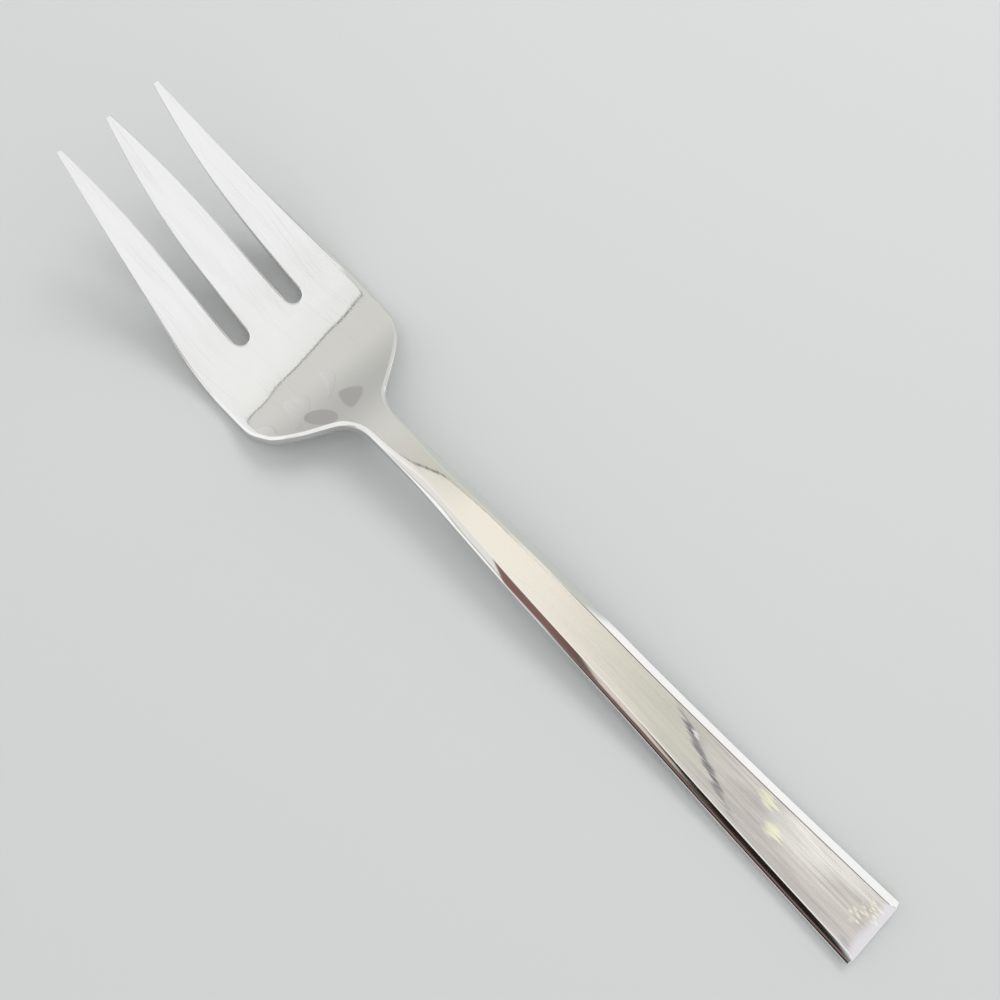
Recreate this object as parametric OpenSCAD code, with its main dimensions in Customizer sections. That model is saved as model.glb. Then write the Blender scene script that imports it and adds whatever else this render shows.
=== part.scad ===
// Cold meat fork: three tines on a wide palm, a narrow neck, and a flat handle
// that widens to a square-cut end. The whole fork is one thickness of stainless
// steel, so its named portions meet face to face.
// Stations are measured along the fork from the handle end, flat on the table.
// +X points to the tips, +Y to the fork's left, +Z up. The flat under the handle
// end and the belly of the palm touch z = 0.

/* [Lengths] */
// Handle, from its square-cut end to the narrowest place of the neck
handle_len = 132; // [110:1:160]
// Palm, from the narrowest place of the neck to the root of the tines
palm_len = 37; // [34:0.5:44]
// Tines, from their root to their tips
tine_len = 41; // [34:0.5:50]

/* [Handle] */
// Width across the square-cut end
end_w = 15.2; // [12:0.2:18]
// Thickness at the end
end_t = 3; // [2.4:0.1:4]
// Length of the flat underneath the end, on which the fork rests
rest_len = 14; // [8:1:24]
// Width in plan of the bevel along each top edge, at the end
bevel_w = 1.7; // [0.8:0.1:2.2]
// Width in plan of that bevel where the neck begins
neck_bevel_w = 1.3; // [0.6:0.1:1.6]
// Angle at which those bevels fall away from the top face
bevel_angle = 36; // [25:1:45]
// Length in plan of the shallow bevel on the top edge of the end
end_bevel_len = 2.4; // [1:0.1:4]
// Drop of that shallow bevel
end_bevel_drop = 0.5; // [0.2:0.1:1]

/* [Neck] */
// Width at the narrowest place
neck_w = 6.3; // [5:0.1:8]
// Thickness at the narrowest place
neck_t = 3.2; // [2.6:0.1:4]
// Height of the underside above the table at the narrowest place
neck_rise = 7.5; // [4:0.5:11]
// Radius of the hollow between the neck and the palm
neck_r = 8; // [6:0.5:10]
// Length of the neck behind its narrowest place
neck_back = 18; // [12:1:26]

/* [Palm] */
// Width across the widest place
palm_w = 40; // [34:0.5:46]
// Thickness at the belly
palm_t = 2.4; // [1.8:0.1:3.2]
// Angle between the rear edges and the fork's axis
rear_angle = 53; // [50:1:60]
// Radius of the shoulders
shoulder_r = 10; // [6:0.5:11]
// Radius of the gently bowed sides
side_r = 84; // [70:1:120]
// Distance from the narrowest place of the neck to the widest place of the palm
widest_at = 28; // [24:0.5:30]
// Distance from the narrowest place of the neck to the belly
belly_at = 28; // [24:0.5:32]

/* [Tines] */
// Width of the two slots at their round ends
slot_w = 3.7; // [3:0.1:4.5]
// Width of the middle tine at its root
middle_w = 10.6; // [9:0.2:12]
// Angle at which each side of the middle tine tapers before its point
middle_taper = 2.4; // [1:0.1:4]
// Radius of the edges that draw the tines to their points
point_r = 110; // [90:1:140]
// Distance across the tips of the outer tines
tip_span = 24.5; // [20:0.5:28]
// Width of each tine at its tip
tip_w = 1.1; // [0.8:0.1:1.6]
// Thickness at the tips
tip_t = 1.2; // [0.8:0.1:1.8]
// Height of the underside of the tips above the table
tip_rise = 27.5; // [18:0.5:34]
// Length over which the bend at the belly straightens out
bend_len = 50; // [30:1:80]

/* [Hidden] */
$fn = 96;
steel = [0.80, 0.80, 0.78];
polished_steel = [0.84, 0.84, 0.83];

// Stations along the fork
overall_len = handle_len + palm_len + tine_len;
neck_front = neck_r * sin(rear_angle) / 2;
neck_start_x = handle_len - neck_back;
palm_start_x = handle_len + neck_front;
root_x = handle_len + palm_len;
widest_x = handle_len + widest_at;
belly_x = handle_len + belly_at;
tip_x = overall_len;

// Segments along each stretch of the side view, and along each arc in plan
handle_steps = 24;
dip_steps = 14;
tine_steps = 24;
arc_steps = 12;
// Shortest segment left beside a cut, and room past the solid in a cutting shape
least_step = 0.2;
room = 5;

// Side view: an eased arch under the handle, an eased dip to the belly, then a bend
// that straightens out towards the tips
function ease(t) = (1 - cos(180 * t)) / 2;
function bend(d) =
    let (run = tip_x - belly_x)
    tip_rise * pow(d / run, 2) * (run + bend_len) / (d + bend_len);
function underside(x) =
    x < rest_len ? 0
    : x < handle_len ? neck_rise * ease((x - rest_len) / (handle_len - rest_len))
    : x < belly_x ? neck_rise * (1 - ease((x - handle_len) / belly_at))
    : bend(x - belly_x);
function slope(x) = let (h = 0.01) (underside(x + h) - underside(x - h)) / (2 * h);
function thickness(x) =
    lookup(x, [[0, end_t], [handle_len, neck_t], [belly_x, palm_t], [tip_x, tip_t]]);
function end_drop(x) = end_bevel_drop * max(0, 1 - x / end_bevel_len);
function top(x) = underside(x) + thickness(x) * sqrt(1 + pow(slope(x), 2)) - end_drop(x);

function spread(a, b, n) = [for (i = [0 : n - 1]) a + (b - a) * i / n];
all_stations = concat(
    [0, end_bevel_len],
    spread(rest_len, handle_len, handle_steps),
    spread(handle_len, belly_x, dip_steps),
    spread(belly_x, tip_x, tine_steps));
function stations(a, b) = concat(
    [a],
    [for (x = all_stations) if (x > a + least_step && x < b - least_step) x],
    [b]);

// Plan: a straight taper along the handle, then the hollow of the neck
function half_w(x) =
    x < handle_len ? (end_w + (neck_w - end_w) * x / handle_len) / 2
    : neck_w / 2 + neck_r - sqrt(pow(neck_r, 2) - pow(x - handle_len, 2));
// The bevel narrows a little along the handle and runs out along the neck
function bevel(x) = lookup(x, [[0, bevel_w], [neck_start_x, neck_bevel_w], [palm_start_x, 0]]);

function unit(a) = [cos(a), sin(a)];
function angle_of(v) = atan2(v[1], v[0]);
function arc(c, r, a, b) = [for (i = [0 : arc_steps]) c + r * unit(a + (b - a) * i / arc_steps)];
// How far to slide an offset e along direction d until it is r long
function slide_out(e, d, r) = -e * d + sqrt(pow(e * d, 2) - e * e + r * r);
function slide_in(e, d, r) = -e * d - sqrt(pow(e * d, 2) - e * e + r * r);

// Outer edge of the head: hollow, rear edge, shoulder, bowed side, straight run to the tip
hollow_c = [handle_len, neck_w / 2 + neck_r];
rear_dir = unit(rear_angle);
rear_in = unit(rear_angle - 90);
side_c = [widest_x, palm_w / 2 - side_r];
shoulder_off = hollow_c + (neck_r + shoulder_r) * rear_in - side_c;
shoulder_c = side_c + shoulder_off
    + slide_out(shoulder_off, rear_dir, side_r - shoulder_r) * rear_dir;
side_start = angle_of(shoulder_c - side_c);
outer_tip = [tip_x, tip_span / 2];
side_end = angle_of(outer_tip - side_c) + acos(side_r / norm(outer_tip - side_c));
head_edge = concat(
    arc(hollow_c, neck_r, asin(neck_front / neck_r) - 90, rear_angle - 90),
    arc(shoulder_c, shoulder_r, rear_angle + 90, side_start),
    arc(side_c, side_r, side_start, side_end),
    [outer_tip]);

// An edge that starts at p along direction d and then bows to side n, through point q
function bowed_edge(p, d, n, q) =
    let (off = p + point_r * n - q,
         c = q + off + slide_in(off, d, point_r) * d)
    concat([p], arc(c, point_r, angle_of(-n), angle_of(q - c)));

slot_y = (middle_w + slot_w) / 2;
inner_edge = bowed_edge(
    [root_x, slot_y + slot_w / 2], [1, 0], [0, 1], [tip_x, tip_span / 2 - tip_w]);
middle_edge = bowed_edge(
    [root_x, middle_w / 2], unit(-middle_taper), unit(-90 - middle_taper), [tip_x, tip_w / 2]);

function mirrored(edge) =
    [for (i = [len(edge) - 1 : -1 : 0]) [edge[i][0], -edge[i][1]]];
function both_sides(edge) = concat(edge, mirrored(edge));

// Everything between two stations along the fork, in plan
module between(a, b) {
    translate([a, -palm_w / 2 - room])
        square([b - a, palm_w + 2 * room]);
}

// The thickness of the fork between two stations, as wide as the palm and more
module side_band(a, b) {
    xs = stations(a, b);
    lower = [for (i = [len(xs) - 1 : -1 : 0]) [xs[i], underside(xs[i])]];
    upper = [for (x = xs) [x, top(x)]];
    rotate([90, 0, 0])
        linear_extrude(palm_w + 2 * room, center = true)
            polygon(concat(upper, lower));
}

// Everything below the left bevel between two stations
module below_bevel(a, b) {
    xs = stations(a, b);
    reach = palm_w;
    edge = [for (x = xs)
        [x, top(x) * cos(bevel_angle) + (half_w(x) - bevel(x)) * sin(bevel_angle)]];
    rotate([90 - bevel_angle, 0, 0])
        linear_extrude(4 * reach, center = true)
            polygon(concat([[a, -reach]], edge, [[b, -reach]]));
}

// A stretch of the fork: its plan, cut to the fork's curved thickness
module stretch(a, b) {
    translate([-overall_len / 2, 0, 0])
        intersection() {
            translate([0, 0, -room])
                linear_extrude(tip_rise + tip_t + neck_rise + 3 * room)
                    children();
            side_band(a, b);
        }
}

// A stretch with a bevel along both top edges
module bevelled_stretch(a, b) {
    edge = [for (x = stations(a, b)) [x, half_w(x)]];
    intersection() {
        stretch(a, b)
            polygon(both_sides(edge));
        translate([-overall_len / 2, 0, 0])
            below_bevel(a, b);
        translate([-overall_len / 2, 0, 0])
            mirror([0, 1, 0])
                below_bevel(a, b);
    }
}

module handle() {
    color(steel)
        bevelled_stretch(0, neck_start_x);
}

module neck() {
    color(polished_steel)
        bevelled_stretch(neck_start_x, palm_start_x);
}

module palm() {
    color(polished_steel)
        stretch(palm_start_x, root_x)
            difference() {
                intersection() {
                    polygon(both_sides(head_edge));
                    between(palm_start_x, root_x);
                }
                for (side = [-1, 1])
                    translate([root_x, side * slot_y])
                        circle(d = slot_w);
            }
}

module left_tine() {
    color(polished_steel)
        stretch(root_x, tip_x)
            intersection() {
                polygon(both_sides(head_edge));
                polygon(concat(inner_edge, [[tip_x, palm_w], [root_x, palm_w]]));
            }
}

module middle_tine() {
    color(polished_steel)
        stretch(root_x, tip_x)
            polygon(both_sides(middle_edge));
}

module right_tine() {
    mirror([0, 1, 0])
        left_tine();
}

handle();
neck();
palm();
left_tine();
middle_tine();
right_tine();
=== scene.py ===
"""Cold meat fork in stainless steel: the looks of each portion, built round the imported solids."""

import bpy
import numpy as np
from mathutils import Matrix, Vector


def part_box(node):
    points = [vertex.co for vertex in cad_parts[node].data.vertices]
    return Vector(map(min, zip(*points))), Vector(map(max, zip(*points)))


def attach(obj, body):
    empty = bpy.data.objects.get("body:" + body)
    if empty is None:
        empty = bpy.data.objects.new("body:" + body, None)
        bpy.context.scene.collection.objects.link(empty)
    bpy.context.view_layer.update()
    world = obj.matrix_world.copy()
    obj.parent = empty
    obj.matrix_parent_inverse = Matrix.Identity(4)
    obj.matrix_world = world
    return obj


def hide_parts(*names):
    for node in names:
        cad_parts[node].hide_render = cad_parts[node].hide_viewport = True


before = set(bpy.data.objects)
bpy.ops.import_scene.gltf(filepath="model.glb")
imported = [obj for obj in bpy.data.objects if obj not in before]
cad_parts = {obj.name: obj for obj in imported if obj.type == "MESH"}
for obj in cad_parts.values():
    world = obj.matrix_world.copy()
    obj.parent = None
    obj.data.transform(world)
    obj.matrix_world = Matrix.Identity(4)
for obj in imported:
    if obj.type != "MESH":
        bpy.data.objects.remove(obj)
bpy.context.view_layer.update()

# Handle: the flat bar of the fork, rolled from stainless steel and ground along its
# length, so that its top face is brushed. A bevel is ground along both top edges and
# the square-cut end is rolled off. It runs into the neck without a joint.
mm = 0.001
end_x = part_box("handle")[0].x
end_half_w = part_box("handle")[1].y
neck_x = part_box("handle")[1].x
palm_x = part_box("neck")[1].x
tip_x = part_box("middle_tine")[1].x
narrow_x = neck_x + 18 * mm
belly_x = narrow_x + 28 * mm
rest_len = 14 * mm
neck_rise = 7.5 * mm
tip_rise = 27.5 * mm
bend_len = 50 * mm
end_t, neck_t, palm_t, tip_t = 3 * mm, 3.2 * mm, 2.4 * mm, 1.2 * mm
neck_half_w = 3.15 * mm
taper_round = 2 * mm
bow_start, bow_out = end_x + 54 * mm, 0.4 * mm
neck_lean = np.tan(np.radians(3.6))
lean_stations = narrow_x - 23 * mm, narrow_x - 1 * mm, palm_x + 2 * mm, palm_x + 16 * mm
neck_crown_r, palm_dish_r, tip_dish_r = 125 * mm, 1050 * mm, 520 * mm
crown_stations = neck_x - 9 * mm, neck_x, narrow_x, palm_x + 7 * mm
slope_step = 0.005 * mm


def ease(x, start, stop):
    """Half a cosine wave from 0 at the start to 1 at the stop, level at both."""
    return (1 - np.cos(np.pi * np.clip((x - start) / (stop - start), 0, 1))) / 2


def swell(x, start, full, fade, stop):
    """Eases from 0 at the start to 1, stays there, and eases back to 0 at the stop."""
    return ease(x, start, full) * (1 - ease(x, fade, stop))


def cross_form(x, y):
    """Height that the section adds across the fork: the neck leans a little to one side
    and is crowned, and the head is dished, more so towards the tips. The lean is a slope
    times y, and crown and dish are parabolas, y squared over twice their radius."""
    lean = neck_lean * swell(x, *lean_stations)
    crown = swell(x, *crown_stations) / neck_crown_r
    dish = ease(x, palm_x, belly_x) / palm_dish_r
    dish += ease(x, belly_x, tip_x) * (1 / tip_dish_r - 1 / palm_dish_r)
    return lean * y + (dish - crown) * y ** 2 / 2


def side_line(x):
    """Height of the underside on the fork's axis: level under the end, an eased arch up to
    the neck, an eased dip to the belly, then a bend that grows with the square of the
    distance and straightens out towards the tips."""
    arch = neck_rise * ease(x, end_x + rest_len, narrow_x)
    dip = neck_rise * (1 - ease(x, narrow_x, belly_x))
    past, run = np.maximum(x - belly_x, 0), tip_x - belly_x
    bend = tip_rise * (past / run) ** 2 * (run + bend_len) / (past + bend_len)
    return np.where(x < narrow_x, arch, np.where(x < belly_x, dip, bend))


def slope_of(line, x):
    """Slope of a line in the side view or the plan, by central difference."""
    return (line(x + slope_step) - line(x - slope_step)) / (2 * slope_step)


def slopes_of(face, x, y):
    """Slopes of a face along and across the fork, by central difference."""
    return slope_of(lambda at: face(at, y), x), slope_of(lambda at: face(x, at), y)


def underside(x, y):
    """Height of the lower face: the side line plus the form of the section."""
    return side_line(x) + cross_form(x, y)


def top_face(x, y):
    """Height of the upper face: the underside plus the thickness at right angles to it,
    which eases from the end's to the neck's, the palm's and the tips'."""
    thick = end_t + (neck_t - end_t) * ease(x, end_x, narrow_x)
    thick = thick + (palm_t - neck_t) * ease(x, narrow_x, belly_x)
    thick = thick + (tip_t - palm_t) * ease(x, belly_x, tip_x)
    return underside(x, y) + thick * np.hypot(1, slope_of(side_line, x))


def taper(x):
    """Half-width of the handle: a straight taper that rounds off, as a hyperbola does, to
    run level at the narrowest place, and bows out a little on the way, as a sine squared."""
    reach = narrow_x - end_x
    spread = (end_half_w - neck_half_w) / (np.hypot(reach, taper_round) - taper_round)
    straight = neck_half_w + spread * (np.hypot(narrow_x - x, taper_round) - taper_round)
    bow_share = np.clip((x - bow_start) / (narrow_x - bow_start), 0, 1)
    return straight + bow_out * np.sin(np.pi * bow_share) ** 2


rim_steps = 8, 5, 8, 8
rim_bends = 1, 1, 1, 2


def rim(edge_r, land_angle, land_crown, land_len, roll_len, soft_angle, soft_len):
    """Section of a rim from the wall inwards, with angles in degrees: a round of the edge's
    radius, a land that bulges by its crown about its angle, a roll down to the soft angle
    and a soft fade into the flat. The angle changes evenly along the first three, and along
    the fade with the square of the distance left. Each step runs its length at the mean of
    the angles at its ends. Gives the distance in from the wall, the depth below the flat
    and the angle at each point, one row for each entry of the sizes."""
    sizes = edge_r, land_angle, land_crown, land_len, roll_len, soft_angle, soft_len
    sizes = np.broadcast_arrays(*(np.atleast_1d(size).astype(float) for size in sizes))
    edge_r, land_angle, land_crown, land_len, roll_len, soft_angle, soft_len = np.stack(sizes)[:, :, None]
    wall = np.full_like(edge_r, 90)
    stops = wall, land_angle + land_crown, land_angle - land_crown, soft_angle, np.zeros_like(wall)
    totals = edge_r * np.radians(90 - stops[1]), land_len, roll_len, soft_len
    angles, lengths = [wall], []
    for start, stop, total, count, bend in zip(stops, stops[1:], totals, rim_steps, rim_bends):
        left_over = (1 - np.arange(1, count + 1) / count) ** bend
        angles.append(stop + (start - stop) * left_over)
        lengths.append(np.repeat(total / count, count, axis=1))
    angle = np.radians(np.concatenate(angles, axis=1))
    length = np.concatenate(lengths, axis=1)
    mean = (angle[:, 1:] + angle[:, :-1]) / 2
    start = np.zeros_like(wall)
    inset = np.concatenate([start, np.cumsum(length * np.cos(mean), axis=1)], axis=1)
    fall = np.concatenate([start, np.cumsum(length * np.sin(mean), axis=1)], axis=1)
    return inset, fall[:, -1:] - fall, angle


def leaning(out_x, out_y, angle, slopes, up):
    """Unit normals of points that lean by an angle from a face, upper (up = 1) or lower
    (up = -1), towards an outward direction in plan: the face's own normal, which is minus
    its slopes and 1, times the angle's cosine, plus the direction times its sine."""
    tilt, flat = np.sin(angle), np.cos(angle)
    along, across = slopes
    parts = out_x * tilt - up * along * flat, out_y * tilt - up * across * flat, up * flat
    normals = np.stack(np.broadcast_arrays(*parts), axis=-1)
    return normals / np.linalg.norm(normals, axis=-1, keepdims=True)


mask_full, mask_none = 4, 12


def skin(x, left, right, face, left_rim, right_rim, up, columns, cap=None):
    """The upper (up = 1) or lower (up = -1) skin between two edges, one row for each
    station x: the left rim, a run across the face and the right rim. A point on a rim lies
    below the face and leans by the rim's angle to the edge's outward side. What rises over
    a cap is cut down to it. Gives points, normals and a mask that is 1 on the upper face
    and fades out where its rims lean between the two mask angles."""
    l_in, l_below, l_angle = (np.broadcast_to(v, (len(x), v.shape[1])) for v in left_rim)
    r_in, r_below, r_angle = (np.broadcast_to(v, (len(x), v.shape[1]))[:, ::-1] for v in right_rim)
    l_lean, r_lean = slope_of(left, x)[:, None], slope_of(right, x)[:, None]
    l_long, r_long = np.hypot(1, l_lean), np.hypot(1, r_lean)
    l_y = left(x)[:, None] - l_in * l_long
    r_y = right(x)[:, None] + r_in * r_long
    share = np.linspace(0, 1, columns + 1)[1:-1]
    middle = l_y[:, -1:] + (r_y[:, :1] - l_y[:, -1:]) * share
    level = np.zeros_like(middle)
    y = np.concatenate([l_y, middle, r_y], axis=1)
    below = np.concatenate([l_below, level, r_below], axis=1)
    angle = np.concatenate([l_angle, level, r_angle], axis=1)
    out_x = np.concatenate([-l_lean / l_long + 0 * l_in, level, r_lean / r_long + 0 * r_in], axis=1)
    out_y = np.concatenate([1 / l_long + 0 * l_in, level, -1 / r_long + 0 * r_in], axis=1)
    x = x[:, None] + 0 * y
    z = face(x, y) - up * below
    slopes = slopes_of(face, x, y)
    if cap is not None:
        cut = cap(x, y) < z
        z = np.where(cut, cap(x, y), z)
        angle = np.where(cut, 0, angle)
        slopes = [np.where(cut, *pair) for pair in zip(slopes_of(cap, x, y), slopes)]
    normals = leaning(out_x, out_y, angle, slopes, up)
    mask = np.clip((mask_none - np.degrees(angle)) / (mask_none - mask_full), 0, 1) * (up > 0)
    return np.stack([x, y, z], axis=2), normals, mask


end_steps = 7


def rounded(upper, lower, towards, radius, last):
    """Carries the first or last rows of two skins on round a quarter turn: each new row
    goes on along x and shrinks evenly towards the middle of the section, until the
    section has lost the radius on every side."""
    row = -1 if last else 0
    turn = np.linspace(0, np.pi / 2, end_steps + 1)[1:, None, None]
    onward = np.array([towards, 0, 0])
    section = np.concatenate([upper[0][row], lower[0][row]])
    low, high = section.min(axis=0), section.max(axis=0)
    draw = np.divide(2 * radius, high - low, out=np.zeros(3), where=high > low)
    closed = []
    for points, normals, mask in (upper, lower):
        inward = ((low + high) / 2 - points[row]) * draw
        parts = [points], [normals], [mask]
        parts[0].append(points[row] + radius * np.sin(turn) * onward + (1 - np.cos(turn)) * inward)
        parts[1].append(normals[row] * np.cos(turn) + onward * np.sin(turn))
        parts[2].append(np.zeros((end_steps, mask.shape[1])))
        if not last:
            parts = ([new[::-1], old] for old, new in parts)
        closed.append(tuple(np.concatenate(pair) for pair in parts))
    return closed


def strip(one, other, facing=None):
    """The ruled strip between two lines of points, with the lines' own normals or with
    one facing for all of it."""
    points = np.stack([one[0], other[0]])
    normals = np.stack([one[1], other[1]]) if facing is None else np.broadcast_to(facing, points.shape)
    return points, normals, np.zeros(points.shape[:2])


def line_of(surface, rows, columns):
    """One row or one column of a surface, as points and normals."""
    return surface[0][rows, columns], surface[1][rows, columns]


every = slice(None)
ahead, behind = (1.0, 0.0, 0.0), (-1.0, 0.0, 0.0)


def shell(upper, lower):
    """The closed shell between two skins: both skins, the two walls and the two ends."""
    return [
        upper,
        lower,
        strip(line_of(upper, every, 0), line_of(lower, every, 0)),
        strip(line_of(upper, every, -1), line_of(lower, every, -1)),
        strip(line_of(upper, 0, every), line_of(lower, 0, every), behind),
        strip(line_of(upper, -1, every), line_of(lower, -1, every), ahead),
    ]


scene = bpy.context.scene
join_within = 0.0002 * mm


def make_piece(name, patches, finish, node):
    """Joins grids of points into one closed mesh, which rides on the fork's one body and
    stands for its solid. Points that coincide become one. A grid's quads are turned to
    face its normals, which the mesh keeps at each corner, with the mask beside them."""
    points = np.concatenate([p.reshape(-1, 3) for p, n, m in patches])
    normals = np.concatenate([n.reshape(-1, 3) for p, n, m in patches])
    mask = np.concatenate([m.reshape(-1) for p, n, m in patches])
    quads, count = [], 0
    for p, n, m in patches:
        index = count + np.arange(m.size).reshape(m.shape)
        count += m.size
        diagonals = np.cross(p[1:, 1:] - p[:-1, :-1], p[:-1, 1:] - p[1:, :-1])
        faces_out = np.sum(diagonals * n[:-1, :-1]) > 0
        corners = [index[:-1, :-1], index[1:, :-1], index[1:, 1:], index[:-1, 1:]]
        quads.append(np.stack(corners if faces_out else corners[::-1], axis=2).reshape(-1, 4))
    corner = np.concatenate(quads)
    places = np.round(points / join_within).astype(np.int64)
    kept, joined = np.unique(places, axis=0, return_index=True, return_inverse=True)[1:]
    mesh = bpy.data.meshes.new(name)
    mesh.from_pydata(points[kept].tolist(), [], joined.reshape(-1)[corner].tolist())
    mesh.polygons.foreach_set("use_smooth", np.ones(len(corner), dtype=bool))
    mesh.normals_split_custom_set(normals[corner.reshape(-1)].tolist())
    face = mesh.attributes.new("ground_face", "FLOAT", "CORNER")
    face.data.foreach_set("value", mask[corner.reshape(-1)].astype(np.float32))
    mesh.materials.append(finish)
    piece = bpy.data.objects.new(name, mesh)
    scene.collection.objects.link(piece)
    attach(piece, "root")
    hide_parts(node)


def wire(tree, kind, inputs, **settings):
    """Adds a node, sets its properties, and joins each input to a socket or sets it."""
    added = tree.nodes.new(kind)
    for key, value in settings.items():
        setattr(added, key, value)
    for key, value in inputs.items():
        if isinstance(value, bpy.types.NodeSocket):
            tree.links.new(value, added.inputs[key])
        else:
            added.inputs[key].default_value = value
    return added


def math(tree, operation, *values):
    """One step of arithmetic on sockets or numbers."""
    return wire(tree, "ShaderNodeMath", dict(enumerate(values)), operation=operation).outputs[0]


def product(tree, first, *others):
    """The product of two or more sockets or numbers."""
    for other in others:
        first = math(tree, "MULTIPLY", first, other)
    return first


def scaled(tree, value, by, plus):
    """A value times a second one, plus a third."""
    return math(tree, "MULTIPLY_ADD", value, by, plus)


def ramp(tree, value, start, stop):
    """A smooth step from 0 to 1 as the value goes from start to stop."""
    inputs = {"Value": value, "From Min": start, "From Max": stop}
    return wire(tree, "ShaderNodeMapRange", inputs, interpolation_type="SMOOTHSTEP").outputs[0]


def zone(tree, x, start, full):
    """A smooth step along the fork from 0 at the start to 1 where the zone is full, both in
    millimetres from the handle's end."""
    return ramp(tree, x, end_x + start * mm, end_x + full * mm)


def blend(tree, factor, one, other):
    """A colour that goes from one to the other with the factor."""
    return wire(tree, "ShaderNodeMix", {0: factor, 6: one, 7: other}, data_type="RGBA").outputs[2]


def noise(tree, place, cell, detail):
    """Noise with cells of about that size, even in all directions."""
    inputs = {"Vector": place, "Scale": 1 / cell, "Detail": detail}
    return wire(tree, "ShaderNodeTexNoise", inputs).outputs[0]


def lines_along(tree, place, length, width, turn_deg, detail):
    """Noise drawn out along the fork: cells of that length and width, turned in plan."""
    turn = {"Vector": place, "Rotation": (0, 0, np.radians(turn_deg))}
    turned = wire(tree, "ShaderNodeMapping", turn).outputs[0]
    stretch = {0: turned, 1: (1 / length, 1 / width, 0)}
    drawn = wire(tree, "ShaderNodeVectorMath", stretch, operation="MULTIPLY").outputs[0]
    return noise(tree, drawn, cell=1.0, detail=detail)


def worked_steel():
    """The marks that working and use leave in steel, as values from 0 to 1: broad and fine
    brushing and wide bands along the fork, long thin scratches in three directions, soft
    smudges, and the slow unevenness of hand polishing."""
    group = bpy.data.node_groups.new("worked_steel", "ShaderNodeTree")
    place = wire(group, "ShaderNodeTexCoord", {}).outputs["Object"]

    def grain(length, width, turn_deg, detail, low, high):
        """Lines of that length and width, from 0 where their noise is low to 1 where it is high."""
        return ramp(group, lines_along(group, place, length, width, turn_deg, detail), low, high)

    lengthwise = grain(30 * mm, 0.15 * mm, turn_deg=3.0, detail=0.0, low=0.72, high=0.82)
    slanting = grain(24 * mm, 0.13 * mm, turn_deg=-8.0, detail=0.0, low=0.74, high=0.84)
    crossing = grain(14 * mm, 0.12 * mm, turn_deg=17.0, detail=0.0, low=0.78, high=0.88)
    marks = {
        "Brushing": grain(38 * mm, 0.5 * mm, turn_deg=0.0, detail=4.0, low=0.25, high=0.75),
        "Fine Brushing": grain(10 * mm, 0.13 * mm, turn_deg=0.4, detail=2.0, low=0.25, high=0.75),
        "Bands": grain(20 * mm, 3.0 * mm, turn_deg=-5.0, detail=2.0, low=0.3, high=0.7),
        "Scratches": math(group, "MAXIMUM", math(group, "MAXIMUM", lengthwise, slanting), crossing),
        "Smudges": ramp(group, noise(group, place, cell=9 * mm, detail=3.0), start=0.35, stop=0.7),
        "Unevenness": noise(group, place, cell=13 * mm, detail=1.0),
    }
    for mark in marks:
        group.interface.new_socket(mark, in_out="OUTPUT", socket_type="NodeSocketFloat")
    wire(group, "NodeGroupOutput", marks)
    return group


def unit(angle):
    """The direction in plan at an angle in degrees from the fork's axis."""
    return np.array([np.cos(np.radians(angle)), np.sin(np.radians(angle))])


def spot(tree, x, y, middle, half_sizes, turn_deg, inner):
    """1 inside an oval mark, falling to 0 at its border: the sum of the squares of the
    two distances from its middle along its turned axes, each over its half size, in a
    smooth step from 1 at the border to the inner value. Its middle and half sizes are in
    millimetres, from the handle's end."""
    at = np.array([end_x + middle[0] * mm, middle[1] * mm])
    off = []
    for turn, half in zip((turn_deg, turn_deg + 90), half_sizes):
        axis = unit(turn) / (half * mm)
        off.append(scaled(tree, x, axis[0], plus=scaled(tree, y, axis[1], plus=-axis @ at)))
    far = scaled(tree, off[0], off[0], plus=product(tree, off[1], off[1]))
    return ramp(tree, far, 1.0, inner)


steel_marks = worked_steel()
# Tones of the handle's face, light and dark for its brush streaks, that stand in for its reflection of the
# room.
cream, neck_cream = (0.785, 0.74, 0.65, 1), (0.69, 0.66, 0.585, 1)
drab, drab_shade = (0.59, 0.57, 0.50, 1), (0.51, 0.49, 0.43, 1)
rose, rose_shade = (0.70, 0.665, 0.615, 1), (0.39, 0.365, 0.35, 1)
# Painted light on the handle: highlights, the end roll's reflection, a dark streak of reflection and
# straw-coloured highlights.
painted_highlight_white = (0.92, 0.90, 0.85, 1)
end_grey = (0.66, 0.645, 0.66, 1)
dark_streak_reflection = (0.07, 0.07, 0.10, 1)
straw = (0.96, 0.94, 0.64, 1)
blue_grey = (0.36, 0.36, 0.43, 1)
toned_zone, brushed_zone, brush_margin = (136, 112), (118, 62), (1.2, 3)
neck_cream_zone, dull_zone, rosy_zone, end_zone = (104, 119), (96, 50), (54, 36), (3.4, 1.0)
ragged_by, drawn_by = 7 * mm, 3.5 * mm
band_share, spot_grain = 0.45, 0.8
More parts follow.
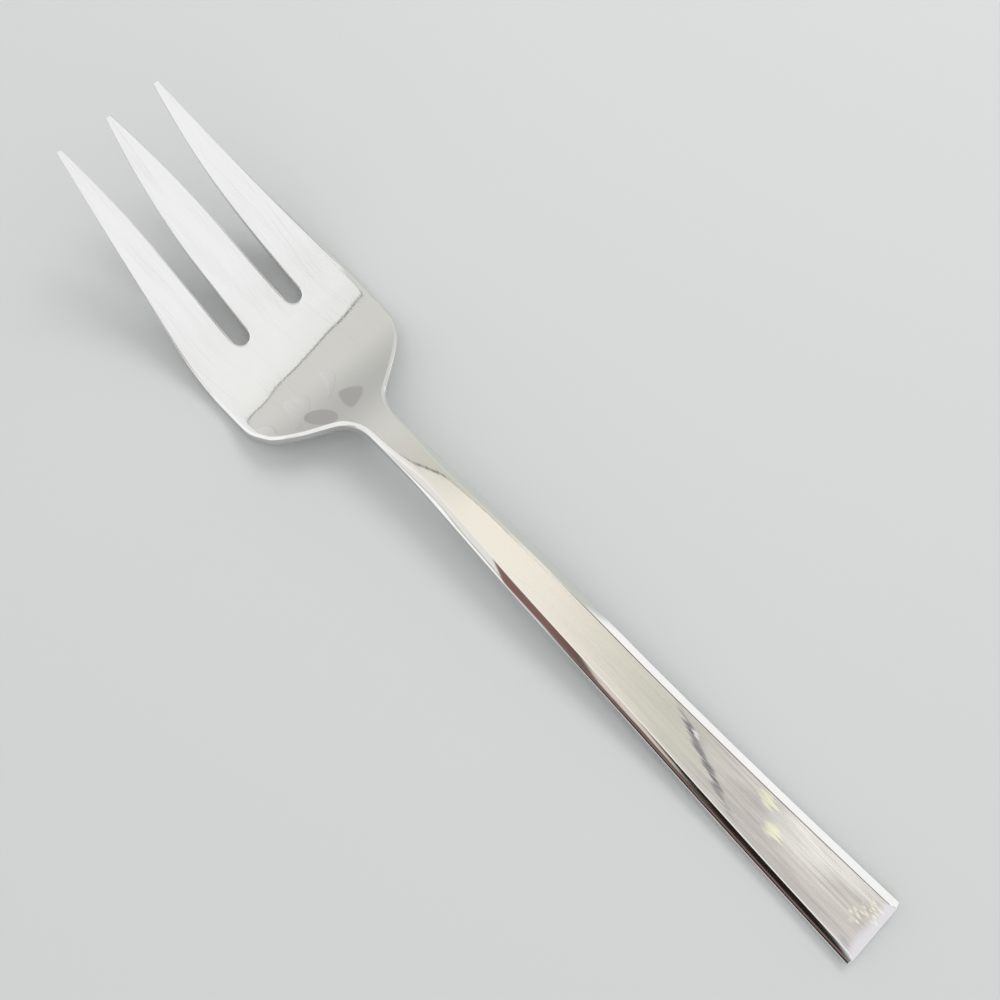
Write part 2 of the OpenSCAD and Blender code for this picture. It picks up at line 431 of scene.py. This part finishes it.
# The handle's spots, nearly all painted light: colour, strength, middle, half sizes and turn, as spot()
# takes them.
handle_spots = (
    # Painted reflection: a dark streak across the face, with a bluish grey smudge and a small painted
    # highlight on it.
    (blue_grey, 0.5, (46.5, -1.6), (5.5, 1.7), 160),
    (dark_streak_reflection, 1.0, (42.9, 0.2), (13.5, 0.85), 159.5),
    (painted_highlight_white, 0.8, (46.8, -1.9), (1.6, 0.45), 160),
    # Painted shade along the face's left side, and a painted cream reflection farther up.
    (rose_shade, 0.6, (27, 3.4), (15, 2.6), 176),
    (rose_shade, 0.45, (15, 4.4), (16, 2.6), 178),
    (cream, 0.6, (68, 3.6), (22, 2.0), 178),
    # Painted highlights: bright patches on the face's right half near the end.
    (painted_highlight_white, 0.6, (20.5, -2.1), (11, 3.4), 174),
    (painted_highlight_white, 0.75, (14, -4.1), (14, 2.4), 2),
    # Painted highlights: straw-coloured glints of a warm lamp, two on the face and two across the end's
    # roll.
    (straw, 0.95, (29.6, -3.3), (2.4, 1.6), 0),
    (straw, 0.95, (25.6, 0.4), (2.4, 1.6), 0),
    (straw, 0.9, (4.85, -0.4), (3.0, 0.6), 90),
    (straw, 0.9, (2.7, -2.6), (2.6, 0.6), 97),
    (blue_grey, 0.8, (3.7, 5.4), (1.6, 1.1), 10),
)


def handle_tone(tree, marks, x, y, ragged):
    """Colour of the handle's top face along x, its tones painted reflection: creamy at the neck,
    duller half way, rosy and streaked by its brushing towards the end, with a painted highlight
    along its margin there. Over it lie the spots, drawn out with the brushing: a painted dark
    streak of reflection, painted bright highlights, painted shade and a painted cream reflection
    along the left side, painted straw-coloured highlights and bluish patches."""
    # Painted reflection: the tones along the face, creamy at the neck, duller half way and rosy and darker
    # towards the end.
    dull, rosy = zone(tree, x, *dull_zone), zone(tree, ragged, *rosy_zone)
    creamy = blend(tree, zone(tree, x, *neck_cream_zone), cream, neck_cream)
    streak_light = blend(tree, rosy, blend(tree, dull, creamy, drab), rose)
    streak_dark = blend(tree, rosy, blend(tree, dull, creamy, drab_shade), rose_shade)
    brush_streak = product(tree, marks["Brushing"], 1 - band_share)
    streak = scaled(tree, marks["Bands"], band_share, plus=brush_streak)
    tone = blend(tree, streak, streak_dark, streak_light)
    # Painted reflection: the end's roll turns a lavender grey.
    tone = blend(tree, zone(tree, x, *end_zone), tone, end_grey)
    grain = scaled(tree, marks["Fine Brushing"], spot_grain, plus=1 - spot_grain)
    drawn = scaled(tree, math(tree, "SUBTRACT", marks["Brushing"], 0.5), drawn_by, plus=x)
    for shade, strength, middle, half_sizes, turn in handle_spots:
        mark = spot(tree, drawn, y, middle, half_sizes, turn, inner=0.0)
        tone = blend(tree, product(tree, mark, grain, strength), tone, shade)
    return tone


polished, polished_shade = (0.762, 0.758, 0.742, 1), (0.747, 0.743, 0.727, 1)
satin, satin_shade = (0.78, 0.778, 0.772, 1), (0.70, 0.70, 0.695, 1)
# Painted reflections on the palm: the grey across its root and the tine tips' dark reflections.
root_reflection_grey, tip_reflection_grey = (0.565, 0.562, 0.55, 1), (0.435, 0.43, 0.43, 1)
root_reflection_front, root_reflection_rear = (151.5, 141), (130, 141)
satin_zone, satin_band_share = (158, 174), 0.7
tip_reflection_strength, tip_reflection_border = 0.85, 0.75
# The palm's two painted reflections of the tine tips: each is where all its ovals overlap.
three_corners = ((144.7, 1.7), (5.9, 5.9), 0), ((140.9, -3.0), (5.9, 5.9), 0), ((138.8, 2.2), (5.9, 5.9), 0)
long_oval = (((142.1, 7.8), (3.8, 2.0), 40),)


def head_tone(tree, marks, x, y, face, front):
    """Colour of neck, palm and tines: polished steel with faint smudges, a painted grey
    reflection across the palm's root, two painted dark reflections of the tine tips, and in
    front of the belly the fine streaks of the satin finish."""
    polish = blend(tree, marks["Smudges"], polished, polished_shade)
    # Painted reflection: a grey band across the palm's root.
    root_reflection = product(tree, face, zone(tree, x, *root_reflection_front), zone(tree, x, *root_reflection_rear))
    polish = blend(tree, root_reflection, polish, root_reflection_grey)
    # Painted reflections: the dark reflections of the tine tips on the palm.
    for ovals in (three_corners, long_oval):
        mark = product(tree, face, tip_reflection_strength)
        for middle, half_sizes, turn in ovals:
            mark = product(tree, spot(tree, x, y, middle, half_sizes, turn, tip_reflection_border), mark)
        polish = blend(tree, mark, polish, tip_reflection_grey)
    banded = scaled(tree, marks["Bands"], satin_band_share, plus=1 - satin_band_share)
    streaks = product(tree, marks["Fine Brushing"], banded)
    return blend(tree, front, polish, blend(tree, streaks, satin, satin_shade))


scratch_grey = (0.5, 0.5, 0.5, 1)
scratch_strength, satin_scratch_strength = 0.2, 0.15
mirror_rough, satin_rough, smudge_rough = 0.03, 0.12, 0.02
brushed_rough, fine_rough, scratch_rough = 0.13, 0.08, 0.06
bump_unit = 0.01 * mm
uneven_height, scratch_depth = 6.0, 0.06
streak_height, brushed_height, fine_height = 0.04, 0.45, 0.35


def fork_steel(name):
    """The fork's steel: brushed and toned on the handle's top face, whose tones and spots are
    mostly painted reflection, highlight and shade, polished on neck and palm, with painted
    reflections on the palm, and satin from the belly to the tips. Brushing, scratches and
    smudges go into the colour and the roughness, and with the unevenness into a shallow bump."""
    steel = bpy.data.materials.new(name)
    steel.use_nodes = True
    tree = steel.node_tree
    shader = tree.nodes["Principled BSDF"]
    shader.inputs["Metallic"].default_value = 1.0
    marks = wire(tree, "ShaderNodeGroup", {}, node_tree=steel_marks).outputs
    place = wire(tree, "ShaderNodeTexCoord", {}).outputs["Object"]
    x, y = wire(tree, "ShaderNodeSeparateXYZ", {0: place}).outputs[:2]
    face = wire(tree, "ShaderNodeAttribute", {}, attribute_name="ground_face").outputs["Fac"]
    ragged = scaled(tree, marks["Brushing"], ragged_by, plus=x)
    toned = product(tree, face, zone(tree, x, *toned_zone))
    brushed = product(tree, face, zone(tree, ragged, *brushed_zone), zone(tree, x, *brush_margin))
    front = zone(tree, x, *satin_zone)
    head = head_tone(tree, marks, x, y, face, front)
    colour = blend(tree, toned, head, handle_tone(tree, marks, x, y, ragged))
    scratch_share = scaled(tree, front, satin_scratch_strength, plus=scratch_strength)
    colour = blend(tree, product(tree, marks["Scratches"], scratch_share), colour, scratch_grey)
    tree.links.new(colour, shader.inputs["Base Color"])
    plain_rough = scaled(tree, front, satin_rough, plus=mirror_rough)
    plain_rough = scaled(tree, marks["Smudges"], smudge_rough, plus=plain_rough)
    grain_rough = scaled(tree, marks["Fine Brushing"], fine_rough, plus=brushed_rough)
    rough = wire(tree, "ShaderNodeMix", {0: brushed, 2: plain_rough, 3: grain_rough}).outputs[0]
    rough = scaled(tree, marks["Scratches"], scratch_rough, plus=rough)
    tree.links.new(rough, shader.inputs["Roughness"])
    streaks = scaled(tree, marks["Fine Brushing"], fine_height, plus=marks["Brushing"])
    streaks = product(tree, streaks, scaled(tree, brushed, brushed_height, plus=streak_height))
    height = scaled(tree, marks["Unevenness"], uneven_height, plus=streaks)
    height = math(tree, "SUBTRACT", height, product(tree, marks["Scratches"], scratch_depth))
    bump = wire(tree, "ShaderNodeBump", {"Height": height, "Strength": 1.0, "Distance": bump_unit})
    tree.links.new(bump.outputs[0], shader.inputs["Normal"])
    return steel


brushed_steel = fork_steel("brushed_handle_steel")
bevel_angle, bevel_crown = 33, 3
left_bevel_w, right_bevel_w = (1.6 * mm, 1.7 * mm), (1.95 * mm, 1.65 * mm)
arris_r, bevel_edge_r = 0.6 * mm, 0.25 * mm
face_soft_angle, face_soft_len = 3, 0.8 * mm
end_round = 0.2 * mm
end_roll_len, end_roll_drop = 2.7 * mm, 0.22 * mm
end_roll_rows, handle_rows, bar_columns = 24, 130, 16


def bevel_land(x, widths):
    """Length of the flat of the bevel in section: its width in plan, between the widths at
    the end and at the neck, drawn out by its angle, less what the rounds beside it take up."""
    width = np.interp(x, [end_x, neck_x], widths)
    above = arris_r * np.tan(np.radians(bevel_angle / 2))
    below = bevel_edge_r * np.tan(np.radians(45 - bevel_angle / 2))
    return width / np.cos(np.radians(bevel_angle)) - above - below


def bevel_sizes(x, widths):
    """The sizes of a bevelled rim at each station. The two bevels are ground by hand, and
    the right one is a little wider at the end."""
    arris_len = arris_r * np.radians(bevel_angle - bevel_crown - face_soft_angle)
    return dict(
        edge_r=bevel_edge_r, land_angle=bevel_angle, land_crown=bevel_crown, land_len=bevel_land(x, widths),
        roll_len=arris_len, soft_angle=face_soft_angle, soft_len=face_soft_len)


def rolled_top(x, y):
    """Height of the handle's top face, which falls off at the end as a parabola."""
    return top_face(x, y) - end_roll_drop * np.maximum(1 - (x - end_x) / end_roll_len, 0) ** 2


def other_side(edge):
    """The mirror image of an edge on the fork's other side."""
    return lambda x: -edge(x)


end_roll_x = np.linspace(end_x + end_round, end_x + end_roll_len, end_roll_rows)
handle_x = np.concatenate([end_roll_x[:-1], np.linspace(end_x + end_roll_len, neck_x, handle_rows)])
handle_edges = taper, other_side(taper)
bevel_rims = [rim(**bevel_sizes(handle_x, widths)) for widths in (left_bevel_w, right_bevel_w)]
lower_rim = rim(
    edge_r=0.5 * mm, land_angle=8, land_crown=1.5, land_len=0.2 * mm,
    roll_len=0.3 * mm, soft_angle=2, soft_len=0.2 * mm)
handle_top = skin(handle_x, *handle_edges, top_face, *bevel_rims, 1, bar_columns, cap=rolled_top)
handle_under = skin(handle_x, *handle_edges, underside, lower_rim, lower_rim, -1, bar_columns)
handle_skins = rounded(handle_top, handle_under, -1, end_round, last=False)
make_piece("brushed_handle", shell(*handle_skins), brushed_steel, "handle")

# Neck: the narrow waist between handle and palm, forged from the same steel. The brushing
# and the bevels of the handle run out on it, and past that it is polished and softly
# rounded. Its edges are finished by hand, so left and right are not quite alike.
hollow_r = 8 * mm
rear_angle = 53
waist_rows = 60
palm_sizes = dict(
    edge_r=0.38 * mm, land_angle=31, land_crown=7, land_len=0.5 * mm,
    roll_len=0.3 * mm, soft_angle=3, soft_len=0.7 * mm)
melt_start, melt_end = neck_x + 2 * mm, neck_x + 17 * mm
left_swells = (0.78, 114, 136, 146, 160), (1.75, 137, 142.3, 142.9, 149)
right_swells = (0.5, 136, 142, 142.5, 147.5), (-0.66, 143.5, 150, 151, 162)


def waist(x):
    """Half-width of the neck: the handle's taper, then the round hollow before the palm."""
    hollow = neck_half_w + hollow_r - np.sqrt(hollow_r ** 2 - np.maximum(x - narrow_x, 0) ** 2)
    return np.where(x < narrow_x, taper(x), hollow)


def by_hand(edge, swells):
    """An edge as hand finishing leaves it: the drawn one plus a sum of eased swells. Each
    swell has its height, inwards if negative, and the four stations where it starts, is
    full, fades and stops, in millimetres from the handle's end."""
    def finished(x):
        """The drawn edge plus its swells."""
        y = edge(x)
        for height, *stations in swells:
            y = y + height * mm * swell(x, *(end_x + station * mm for station in stations))
        return y

    return finished


def waist_rim(x, widths):
    """The rim along the neck, which starts as a bevel and ends as the palm's rim: each of
    its sizes eases from the one to the other."""
    melted = ease(x, melt_start, melt_end)
    bevel = bevel_sizes(x, widths)
    return rim(**{size: bevel[size] + (palm_sizes[size] - bevel[size]) * melted for size in bevel})


polished_neck = fork_steel("polished_neck_steel")
waist_x = np.linspace(neck_x, palm_x, waist_rows)
waist_rims = [waist_rim(waist_x, widths) for widths in (left_bevel_w, right_bevel_w)]
waist_edges = by_hand(waist, left_swells), other_side(by_hand(waist, right_swells))
neck_top = skin(waist_x, *waist_edges, top_face, *waist_rims, 1, bar_columns)
neck_under = skin(waist_x, *waist_edges, underside, lower_rim, lower_rim, -1, bar_columns)
make_piece("polished_neck", shell(neck_top, neck_under), polished_neck, "neck")

# Palm: the wide blade in front of the neck, forged thin from the same steel, dipped to its
# belly and polished. Its rim is rounded over, by hand at the rear, and the two slots between
# the tines end in it with half circles.
root_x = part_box("palm")[1].x
palm_half_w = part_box("palm")[1].y
widest_x = narrow_x + 28 * mm
side_r, shoulder_r = 84 * mm, 10 * mm
tip_half_span = 12.25 * mm
slot_half_w = 1.85 * mm
slot_y = 7.15 * mm
front_x = root_x - 5 * mm
soft_gain, soft_gain_run = 0.3 * mm, 12 * mm
rear_rows, front_rows, palm_columns, slot_rays = 90, 9, 48, 10
# The shoulder's circle touches the rear edge, whose line it slides along, and the side's
# circle from within. The run to the tip touches the side's circle and goes through the tip.
side_c = np.array([widest_x, palm_half_w - side_r])
hollow_c = np.array([narrow_x, neck_half_w + hollow_r])
rear_dir = unit(rear_angle)
shoulder_off = hollow_c + (hollow_r + shoulder_r) * unit(rear_angle - 90) - side_c
slide = np.sqrt((shoulder_off @ rear_dir) ** 2 - shoulder_off @ shoulder_off + (side_r - shoulder_r) ** 2)
shoulder_c = side_c + shoulder_off + (slide - shoulder_off @ rear_dir) * rear_dir
rear_start = hollow_c + hollow_r * unit(rear_angle - 90)
shoulder_start = shoulder_c + shoulder_r * unit(rear_angle + 90)
shoulder_end = side_c + side_r * (shoulder_c - side_c) / np.linalg.norm(shoulder_c - side_c)
outer_tip = np.array([tip_x, tip_half_span])
tip_off = outer_tip - side_c
tip_angle, touch_angle = np.arctan2(tip_off[1], tip_off[0]), np.arccos(side_r / np.linalg.norm(tip_off))
side_end = side_c + side_r * unit(np.degrees(tip_angle + touch_angle))


def bow(x, centre, radius):
    """The outer half of a circle in plan, as y at x."""
    return centre[1] + np.sqrt(np.maximum(radius ** 2 - (x - centre[0]) ** 2, 0))


def outline(x):
    """Outer edge of the head: the neck's hollow, a straight rear edge, the round shoulder,
    the gently bowed side and a straight run to the tip, each tangent to the next."""
    hollow = waist(np.minimum(x, rear_start[0]))
    rear = rear_start[1] + (x - rear_start[0]) * np.tan(np.radians(rear_angle))
    run = side_end[1] + (x - side_end[0]) * (outer_tip - side_end)[1] / (outer_tip - side_end)[0]
    stops = rear_start[0], shoulder_start[0], shoulder_end[0], side_end[0]
    edges = [hollow, rear, bow(x, shoulder_c, shoulder_r), bow(x, side_c, side_r)]
    return np.select([x < stop for stop in stops], edges, run)


def laid(plan, face, below, out, angle, up):
    """A grid in plan laid on a face: each point lies its depth below the face and leans by
    its angle to its outward direction, as on a rim. Gives points, normals and no mask."""
    x, y = plan[..., 0], plan[..., 1]
    points = np.stack([x, y, face(x, y) - up * below], axis=2)
    normals = leaning(out[..., 0], out[..., 1], angle, slopes_of(face, x, y), up)
    return points, normals, np.zeros(x.shape)


def slotted_front(face, edge_section, slot_section, up):
    """Half of one skin in front of the belly, round one slot end: the outer rim, a grid
    of straight rays from the half circle out to the rim, the seam and the middle line,
    and the rim section carried round the half circle, with its wall towards the slot.
    Gives the patches and the skin's line across the root."""
    front_rows_x = np.linspace(front_x, root_x, front_rows)
    edges = outline, other_side(outline)
    points, normals, mask = skin(front_rows_x, *edges, face, edge_section, edge_section, up, 2)
    rim_points = edge_section[0].shape[1]
    outer_rim = points[:, :rim_points], normals[:, :rim_points], 0 * mask[:, :rim_points]
    side = points[::-1, rim_points - 1, :2]
    seam_y = np.linspace(1, 0, palm_columns // 2 + 1)[1:] * side[-1, 1]
    seam = np.stack([np.full_like(seam_y, front_x), seam_y], axis=1)
    middle = np.stack([front_rows_x[1:], np.zeros(front_rows - 1)], axis=1)
    border = np.concatenate([side, seam, middle])
    slot_c = np.array([root_x, slot_y])
    off = border - slot_c
    ray = (off / np.linalg.norm(off, axis=1, keepdims=True))[:, None]
    inset, below, lean = (size[0] for size in slot_section)
    slot_plan = slot_c + (slot_half_w + inset)[None, :, None] * ray
    slot = laid(slot_plan, face, below, -ray, lean, up)
    ring = slot_plan[:, -1]
    share = np.linspace(0, 1, slot_rays + 1)[None, :, None]
    field = laid(ring[:, None] + (border - ring)[:, None] * share, face, 0.0, ray, 0.0, up)
    across_outer = np.concatenate([slot[0][0, :-1], field[0][0, :-1], outer_rim[0][-1, ::-1]])
    across_middle = np.concatenate([slot[0][-1, :-1], field[0][-1]])
    return [outer_rim, field, slot], (across_outer, across_middle)


def mirrored(patch):
    """A patch's mirror image on the fork's other side, for the front, which is alike on both."""
    flip = np.array([1, -1, 1])
    return patch[0] * flip, patch[1] * flip, patch[2]


head_steel = fork_steel("polished_head_steel")
rear_x = np.linspace(palm_x, front_x, rear_rows)
soft_len = palm_sizes["soft_len"] + soft_gain * ease(rear_x, palm_x, palm_x + soft_gain_run)
rear_rim = rim(**{**palm_sizes, "soft_len": soft_len})
palm_rim = rim(**{**palm_sizes, "soft_len": soft_len[-1]})
slot_rim = rim(
    edge_r=0.35 * mm, land_angle=30, land_crown=7, land_len=0.3 * mm,
    roll_len=0.2 * mm, soft_angle=1.5, soft_len=0.25 * mm)
rear_edges = by_hand(outline, left_swells), other_side(by_hand(outline, right_swells))
rear_top = skin(rear_x, *rear_edges, top_face, rear_rim, rear_rim, 1, palm_columns)
rear_under = skin(rear_x, *rear_edges, underside, lower_rim, lower_rim, -1, palm_columns)
front_top, top_lines = slotted_front(top_face, palm_rim, slot_rim, 1)
front_under, under_lines = slotted_front(underside, lower_rim, lower_rim, -1)
front = [*front_top, *front_under]
for top_line, under_line in zip(top_lines, under_lines):
    front.append(strip((top_line, None), (under_line, None), ahead))
for upper, lower in zip(front_top[::2], front_under[::2]):
    front.append(strip(line_of(upper, every, 0), line_of(lower, every, 0)))
palm_patches = shell(rear_top, rear_under)[:-1] + front + [mirrored(patch) for patch in front]
make_piece("polished_palm", palm_patches, head_steel, "palm")

# Tines: three long points of the same steel, satin finished, that go on from the palm and
# sweep up. They are cut out between the two slots and ground to a small blunt tip, and the
# outer two are mirror images.
middle_half_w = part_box("middle_tine")[1].y
middle_taper = 2.4
point_r = 110 * mm
tip_half_w = 0.55 * mm
tip_round = 0.35 * mm
tine_rows, tine_columns = 110, 12
side_least, slot_least, under_least = 0.18, 0.45, 0.4


def bowed(start, direction, inward, end):
    """An edge in plan that starts along a direction and then bows to its inward side with
    the point's radius, so that it passes through the end. Gives y as a function of x."""
    off = start + point_r * inward - end
    reach = -off @ direction - np.sqrt((off @ direction) ** 2 - off @ off + point_r ** 2)
    centre = end + off + reach * direction
    turn = centre - point_r * inward
    side = np.sign(-inward[1])

    def edge(x):
        """The straight line up to the turn and the circle's arc past it."""
        straight = start[1] + (x - start[0]) * direction[1] / direction[0]
        arc = centre[1] + side * np.sqrt(np.maximum(point_r ** 2 - (x - centre[0]) ** 2, 0))
        return np.where(x < turn[0], straight, arc)

    return edge


inner_root = np.array([root_x, slot_y + slot_half_w])
inner_tip = np.array([tip_x, tip_half_span - 2 * tip_half_w])
inner_edge = bowed(inner_root, unit(0), unit(90), inner_tip)
middle_root, middle_tip = np.array([root_x, middle_half_w]), np.array([tip_x, tip_half_w])
middle_edge = bowed(middle_root, unit(-middle_taper), unit(-90 - middle_taper), middle_tip)


def drawn_down(section, left, right, x, least):
    """A rim that gets smaller with the cube of the tine's width, from full size at the root
    to the least share of it at the tip."""
    width = left(x) - right(x)
    share = least + (1 - least) * ((width - width[-1]) / (width[0] - width[-1])) ** 3
    inset, below, angle = section
    return inset * share[:, None], below * share[:, None], np.broadcast_to(angle, (len(x), angle.shape[1]))


def tine(left, right, left_rim, left_least, right_rim, right_least):
    """A tine between two edges: its upper and lower skins with rims that shrink towards
    the tip, closed by the rounded tip."""
    x = np.linspace(root_x, tip_x - tip_round, tine_rows)
    left_section = drawn_down(left_rim, left, right, x, left_least)
    right_section = drawn_down(right_rim, left, right, x, right_least)
    upper = skin(x, left, right, top_face, left_section, right_section, 1, tine_columns)
    under_rim = drawn_down(lower_rim, left, right, x, under_least)
    lower = skin(x, left, right, underside, under_rim, under_rim, -1, tine_columns)
    return shell(*rounded(upper, lower, 1, tip_round, last=True))


outer_tine = tine(outline, inner_edge, palm_rim, side_least, slot_rim, slot_least)
middle_tine = tine(middle_edge, other_side(middle_edge), slot_rim, slot_least, slot_rim, slot_least)
right_tine = [mirrored(patch) for patch in outer_tine]
make_piece("polished_left_tine", outer_tine, head_steel, "left_tine")
make_piece("polished_middle_tine", middle_tine, head_steel, "middle_tine")
make_piece("polished_right_tine", right_tine, head_steel, "right_tine")

# Floor: a wide, plain, pale ground, level with the underside of the handle's end and just
# clear of it, so that the two faces don't coincide.
floor_reach, floor_z = 40.0, -0.02 * mm
floor_grey = (0.52, 0.53, 0.53, 1)
floor_mesh = bpy.data.meshes.new("floor")
floor_sides = (-1, -1), (1, -1), (1, 1), (-1, 1)
floor_corners = [(sx * floor_reach, sy * floor_reach, floor_z) for sx, sy in floor_sides]
floor_mesh.from_pydata(floor_corners, [], [(0, 1, 2, 3)])
floor_paint = bpy.data.materials.new("pale_floor")
floor_paint.use_nodes = True
floor_shader = floor_paint.node_tree.nodes["Principled BSDF"]
floor_shader.inputs["Base Color"].default_value = floor_grey
floor_shader.inputs["Roughness"].default_value = 0.9
floor_shader.inputs["Specular IOR Level"].default_value = 0.1
floor_mesh.materials.append(floor_paint)
floor = bpy.data.objects.new("floor", floor_mesh)
scene.collection.objects.link(floor)

# Light: a soft white ceiling with one straight edge over the fork and a greyer wall beyond
# it, a dark panel and low pale strips on the right, a white wall with a joint line and a
# brown screen on the left, and a weak lamp that gives the fork its shadow.
scene.view_settings.view_transform = "Standard"
studio = bpy.data.worlds.new("soft_studio")
scene.world = studio
studio.use_nodes = True
sky = studio.node_tree
direction = wire(sky, "ShaderNodeTexCoord", {}).outputs["Generated"]
sky_x, sky_y, sky_z = wire(sky, "ShaderNodeSeparateXYZ", {0: direction}).outputs
azimuth = math(sky, "DEGREES", math(sky, "ARCTAN2", sky_y, sky_x))
elevation = math(sky, "DEGREES", math(sky, "ARCSINE", sky_z))
least_height = 0.02
height = math(sky, "MAXIMUM", sky_z, least_height)
along = math(sky, "DIVIDE", sky_x, height)
across = math(sky, "DIVIDE", sky_y, height)


def band(value, low, high, soft):
    """1 where the value lies between low and high, falling to 0 over the soft width outside."""
    return product(sky, ramp(sky, value, low - soft, low), ramp(sky, value, high + soft, high))


def panel(azimuths, elevations):
    """1 on a panel of the studio: a band of azimuths times a band of elevations, each with
    its low and high limit and its soft width in degrees."""
    return product(sky, band(azimuth, *azimuths), band(elevation, *elevations))


# The ceiling and the white wall on the left with its joint, in degrees.
horizon_white, ceiling_white, wall_white = (0.88, 0.89, 0.90, 1), (1.1, 1.1, 1.095, 1), (1.2, 1.2, 1.2, 1)
upper_wall_white, joint_grey = (0.98, 0.97, 0.94, 1), (0.60, 0.59, 0.55, 1)
left_wall = panel(azimuths=(25.0, 165.0, 15.0), elevations=(0.0, 43.0, 3.0))
upper_wall = panel(azimuths=(74.0, 92.0, 2.0), elevations=(32.0, 43.0, 1.0))
wall_joint = panel(azimuths=(72.0, 92.0, 2.0), elevations=(31.6, 32.6, 0.5))
light = blend(sky, ramp(sky, elevation, 0.0, 40.0), horizon_white, ceiling_white)
light = blend(sky, left_wall, light, wall_white)
light = blend(sky, upper_wall, light, upper_wall_white)
light = blend(sky, wall_joint, light, joint_grey)

# The ceiling's edge on the right and what lies beyond it. Distances along and across the
# ceiling are in units of its height over the fork.
right_edge, edge_soft = -0.268, 0.006
rear_white, edge_white = (1.13, 1.13, 1.15, 1), (1.02, 1.02, 1.015, 1)
front_wall_grey = (0.82, 0.818, 0.793, 1)
panel_dark, edge_dark = (0.22, 0.21, 0.20, 1), (0.22, 0.22, 0.22, 1)
strip_grey, low_strip = (0.70, 0.73, 0.69, 1), (-5.0, 19.0, 3.0)
right_panel = panel(azimuths=(-114.0, -97.0, 2.5), elevations=(28.0, 60.0, 4.0))
front_strip = panel(azimuths=(-92.5, -60.0, 2.0), elevations=low_strip)
rear_strip = panel(azimuths=(-175.0, -94.5, 2.0), elevations=low_strip)
light = blend(sky, ramp(sky, along, -0.3, -0.45), light, rear_white)
near_edge = product(sky, ramp(sky, across, -0.16, right_edge), ramp(sky, along, 0.05, 0.2))
light = blend(sky, near_edge, light, edge_white)
beyond = ramp(sky, across, right_edge, right_edge - edge_soft)
front_wall = product(sky, beyond, ramp(sky, azimuth, -98.0, -84.0))
light = blend(sky, front_wall, light, front_wall_grey)
light = blend(sky, right_panel, light, panel_dark)
light = blend(sky, front_strip, light, strip_grey)
light = blend(sky, rear_strip, light, wall_white)
from_edge = math(sky, "ABSOLUTE", math(sky, "SUBTRACT", across, right_edge))
edge_line = product(sky, ramp(sky, from_edge, edge_soft, edge_soft / 3), ramp(sky, along, -0.36, -0.3))
light = blend(sky, edge_line, light, edge_dark)

# The brown screen in front of the white wall: its lower border slants down towards the
# handle's end, and a paler seam and a bright opening divide it.
screen_brown, screen_dark = (0.27, 0.155, 0.135, 1), (0.134, 0.09, 0.078, 1)
screen_black = (0.02, 0.014, 0.011, 1)
foot_pale, foot_dark = (0.82, 0.80, 0.80, 1), (0.06, 0.035, 0.03, 1)
seam_brown, opening_cream = (0.24, 0.175, 0.165, 1), (0.86, 0.77, 0.69, 1)
slant = scaled(sky, math(sky, "SUBTRACT", azimuth, 85.0), -6.5, plus=45.0)
above_border = math(sky, "SUBTRACT", elevation, math(sky, "MAXIMUM", slant, 22.0))
screen = product(
    sky, ramp(sky, above_border, 0.0, 4.0), band(azimuth, 87.0, 107.0, 3.0),
    ramp(sky, elevation, 43.0, 40.0))
upper_tone = blend(sky, ramp(sky, azimuth, 93.0, 101.0), screen_brown, screen_dark)
upper_tone = blend(sky, ramp(sky, azimuth, 101.0, 104.5), upper_tone, screen_black)
lower_tone = blend(sky, ramp(sky, azimuth, 92.0, 97.0), foot_pale, foot_dark)
screen_tone = blend(sky, ramp(sky, elevation, 29.5, 31.5), lower_tone, upper_tone)
seam = product(sky, band(elevation, 30.0, 31.5, 0.8), ramp(sky, azimuth, 93.0, 97.0))
screen_tone = blend(sky, seam, screen_tone, seam_brown)
opening = product(sky, band(azimuth, 99.8, 102.0, 1.4), ramp(sky, elevation, 32.5, 35.0))
screen_tone = blend(sky, opening, screen_tone, opening_cream)
light = blend(sky, screen, light, screen_tone)
sky.links.new(light, sky.nodes["Background"].inputs["Color"])
sky.nodes["Background"].inputs["Strength"].default_value = 1.0

lamp_place, lamp_tilt = (0.10, -0.45, 0.60), 37
lamp_data = bpy.data.lights.new("soft_lamp", "AREA")
lamp_data.shape = "DISK"
lamp_data.size = 0.35
lamp_data.energy = 2.0
lamp = bpy.data.objects.new("soft_lamp", lamp_data)
lamp.matrix_world = Matrix.Translation(lamp_place) @ Matrix.Rotation(np.radians(lamp_tilt), 4, "X")
lamp.visible_glossy = False
scene.collection.objects.link(lamp)

# Camera: a hand-held view from above the handle, on the fork's left, with the tines towards
# the upper left of the picture.
camera_right = (-0.694668, -0.718028, 0.043264)
camera_up = (0.695688, -0.655328, 0.294218)
camera_back = (-0.182904, 0.234482, 0.954759)
camera_place = (-0.0390842, 0.0443006, 0.2143068)
camera_data = bpy.data.cameras.new("camera")
camera_data.sensor_width = 36.0
camera_data.lens = 39.6
camera_data.clip_start = 0.01
camera = bpy.data.objects.new("camera", camera_data)
turned = Matrix((camera_right, camera_up, camera_back)).transposed().to_4x4()
camera.matrix_world = Matrix.Translation(camera_place) @ turned
scene.collection.objects.link(camera)
scene.camera = camera
